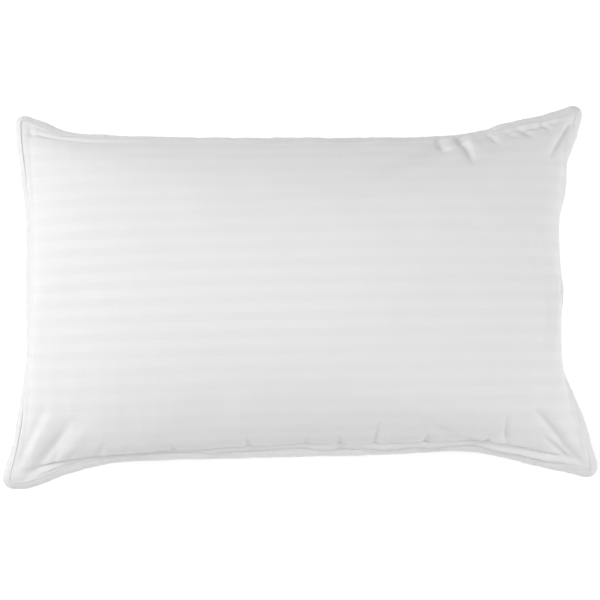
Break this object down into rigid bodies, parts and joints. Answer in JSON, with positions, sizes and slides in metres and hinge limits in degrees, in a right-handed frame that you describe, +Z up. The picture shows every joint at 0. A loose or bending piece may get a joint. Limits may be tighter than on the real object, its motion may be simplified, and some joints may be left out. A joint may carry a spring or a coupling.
{
  "type": "bed pillow",
  "caption": "White bed pillow: soft fibre fill in satin-stripe ticking, with a flat stitched edge binding and rounded corner ears, lying flat.",
  "frame": {"origin": "centre of the bounding box, on the surface that the pillow lies on", "axes": "+X along the pillow's length, +Y along its width towards the back edge, +Z up"},
  "size_m": [0.7574, 0.4886, 0.1856],
  "materials": {
    "ticking": "white cotton sateen with tone-on-tone satin stripes",
    "filling": "loose white polyester fibre",
    "binding": "white plain-weave cotton tape",
    "thread": "white polyester sewing thread",
    "label": "blank white satin ribbon"
  },
  "bodies": {
    "root": {"top_panel": "ticking", "bottom_panel": "ticking", "fibre_fill": "filling", "edge_binding": "binding", "inner_needle_thread": "thread", "inner_bobbin_thread": "thread", "outer_needle_thread": "thread", "outer_bobbin_thread": "thread", "care_label": "label"}
  },
  "joints": []
}
